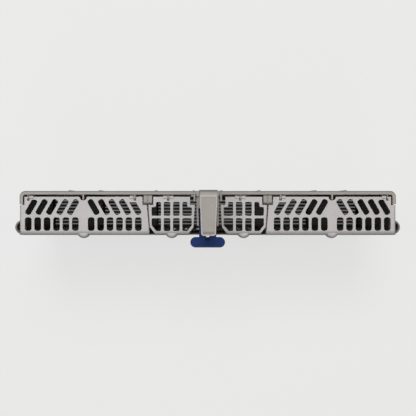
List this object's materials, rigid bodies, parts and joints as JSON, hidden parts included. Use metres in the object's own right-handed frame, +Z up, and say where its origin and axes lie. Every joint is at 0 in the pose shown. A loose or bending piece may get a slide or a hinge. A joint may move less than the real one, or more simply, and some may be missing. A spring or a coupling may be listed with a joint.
{
  "type": "dishwasher cutlery basket",
  "caption": "Long slim slotted cutlery basket with hinged slotted lids, a carry handle and a sprung release latch.",
  "frame": {"origin": "middle of the underside of the floor, at mid length and mid depth of the walls", "axes": "+X along the length, +Y towards the rear wall and rim, +Z up through the lids"},
  "size_m": [0.486, 0.072, 0.218],
  "materials": {
    "body_grey": "matte",
    "lid_grey": "matte",
    "latch_blue": "satin",
    "spring_steel": "brushed"
  },
  "bodies": {
    "basket": {"basket_body": "body_grey", "carry_handle": "body_grey", "latch_spring": "spring_steel"},
    "left_outer": {"left_outer_lid": "lid_grey"},
    "left_centre": {"left_centre_lid": "lid_grey"},
    "right_centre": {"right_centre_lid": "lid_grey"},
    "right_outer": {"right_outer_lid": "lid_grey"},
    "latch": {"release_latch": "latch_blue"}
  },
  "joints": [
    {"name": "left_outer_hinge", "type": "hinge", "parent": "basket", "child": "left_outer", "pos_m": [-0.1554, 0.0196, 0.1689], "axis": [-1, 0, 0], "range_deg": [0, 115]},
    {"name": "left_centre_hinge", "type": "hinge", "parent": "basket", "child": "left_centre", "pos_m": [-0.045, 0.0196, 0.1689], "axis": [-1, 0, 0], "range_deg": [0, 115]},
    {"name": "right_centre_hinge", "type": "hinge", "parent": "basket", "child": "right_centre", "pos_m": [0.045, 0.0196, 0.1689], "axis": [-1, 0, 0], "range_deg": [0, 115]},
    {"name": "right_outer_hinge", "type": "hinge", "parent": "basket", "child": "right_outer", "pos_m": [0.1554, 0.0196, 0.1689], "axis": [-1, 0, 0], "range_deg": [0, 115]},
    {"name": "latch_press", "type": "hinge", "parent": "basket", "child": "latch", "pos_m": [0, 0.003, 0.1655], "axis": [1, 0, 0], "range_deg": [0, 8], "stiffness_Nm_per_rad": 0.4, "springref_deg": -11.46, "deforming": ["latch_spring"]}
  ]
}
